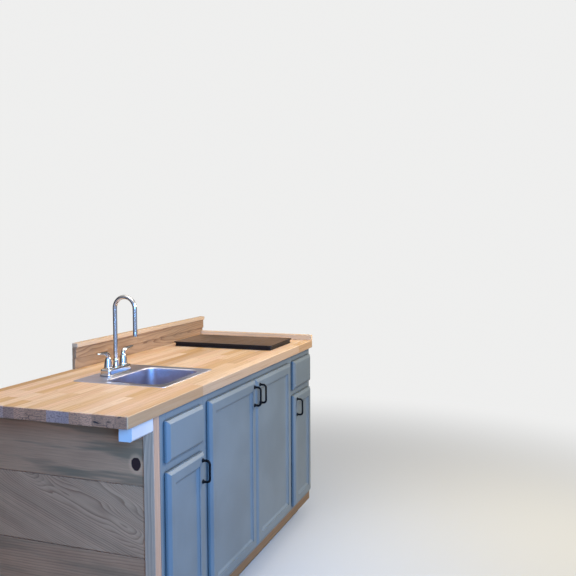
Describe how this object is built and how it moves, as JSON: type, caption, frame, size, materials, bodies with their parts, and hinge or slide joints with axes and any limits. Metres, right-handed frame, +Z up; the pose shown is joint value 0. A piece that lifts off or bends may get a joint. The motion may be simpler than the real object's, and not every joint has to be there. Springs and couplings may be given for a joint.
{
  "type": "fitted kitchen run",
  "caption": "Straight fitted kitchen run with painted face-frame cabinets, butcher-block worktop, drop-in sink, gooseneck tap and hob.",
  "frame": {"origin": "on the floor, below the middle of the run's box", "axes": "+X along the run, to the right of who faces the doors; +Y to the wall; +Z up"},
  "size_m": [1.736, 0.6772, 1.218],
  "materials": {
    "butcher_block": "oiled",
    "cabinet_paint": "satin paint",
    "pine_board": "satin varnish",
    "grey_post": "satin varnish",
    "splash_pine": "satin varnish",
    "warm_strip": "satin varnish",
    "pale_strip": "satin varnish",
    "white_paint": "satin paint",
    "cabinet_board": "matt",
    "toe_black": "matt paint",
    "stainless": "satin",
    "runner_steel": "plain",
    "chrome": "polished",
    "black_metal": "matt",
    "hob_case": "matt",
    "hob_glass": "gloss"
  },
  "bodies": {
    "root": {"worktop": "butcher_block", "sink_bowl": "stainless", "sink_drain": "stainless", "tap_base": "chrome", "hob_body": "hob_case", "hob_plate": "hob_glass", "overhang_block": "white_paint", "corner_post": "grey_post", "end_board_1": "pine_board", "end_board_2": "pine_board", "end_board_3": "pine_board", "end_board_4": "pine_board", "splash_lower": "splash_pine", "splash_upper": "splash_pine", "splash_cap": "splash_pine", "end_strip": "pale_strip", "base_strip": "warm_strip", "toe_board": "toe_black", "left_cabinet_sides": "cabinet_paint", "sink_cabinet_sides": "cabinet_paint", "right_cabinet_sides": "cabinet_paint", "cabinet_floors": "cabinet_board", "cabinet_backs": "cabinet_board", "left_face_frame": "cabinet_paint", "sink_face_frame": "cabinet_paint", "right_face_frame": "cabinet_paint", "left_fixed_front": "cabinet_paint", "right_drawer_runners": "runner_steel"},
    "left_door": {"left_door": "cabinet_paint", "left_door_pull": "black_metal"},
    "sink_door_left": {"sink_door_left": "cabinet_paint", "sink_pull_left": "black_metal"},
    "sink_door_right": {"sink_door_right": "cabinet_paint", "sink_pull_right": "black_metal"},
    "right_door": {"right_door": "cabinet_paint", "right_door_pull": "black_metal"},
    "right_drawer": {"right_drawer_front": "cabinet_paint", "right_drawer_box": "cabinet_board"},
    "tap_spout": {"tap_spout": "chrome"},
    "tap_lever_left": {"tap_lever_left": "chrome"},
    "tap_lever_right": {"tap_lever_right": "chrome"}
  },
  "joints": [
    {"name": "left_door_hinge", "type": "hinge", "parent": "root", "child": "left_door", "pos_m": [-0.6347, -0.30665, 0.1313], "axis": [0, 0, -1], "range_deg": [0, 105]},
    {"name": "sink_door_left_hinge", "type": "hinge", "parent": "root", "child": "sink_door_left", "pos_m": [-0.3297, -0.30665, 0.1313], "axis": [0, 0, -1], "range_deg": [0, 105]},
    {"name": "sink_door_right_hinge", "type": "hinge", "parent": "root", "child": "sink_door_right", "pos_m": [0.5417, -0.30665, 0.1313], "axis": [0, 0, 1], "range_deg": [0, 105]},
    {"name": "right_door_hinge", "type": "hinge", "parent": "root", "child": "right_door", "pos_m": [0.8467, -0.30665, 0.1313], "axis": [0, 0, 1], "range_deg": [0, 85]},
    {"name": "spout_swivel", "type": "hinge", "parent": "root", "child": "tap_spout", "pos_m": [-0.2785, 0.12065, 0.942], "axis": [0, 0, 1], "range_deg": [-90, 90]},
    {"name": "left_lever_turn", "type": "hinge", "parent": "root", "child": "tap_lever_left", "pos_m": [-0.3295, 0.12065, 0.942], "axis": [0, 0, 1], "range_deg": [0, 90]},
    {"name": "right_lever_turn", "type": "hinge", "parent": "root", "child": "tap_lever_right", "pos_m": [-0.2275, 0.12065, 0.942], "axis": [0, 0, -1], "range_deg": [0, 90]},
    {"name": "right_drawer_slide", "type": "slide", "parent": "root", "child": "right_drawer", "axis": [0, 1, 0], "range_m": [-0.33, 0]}
  ]
}
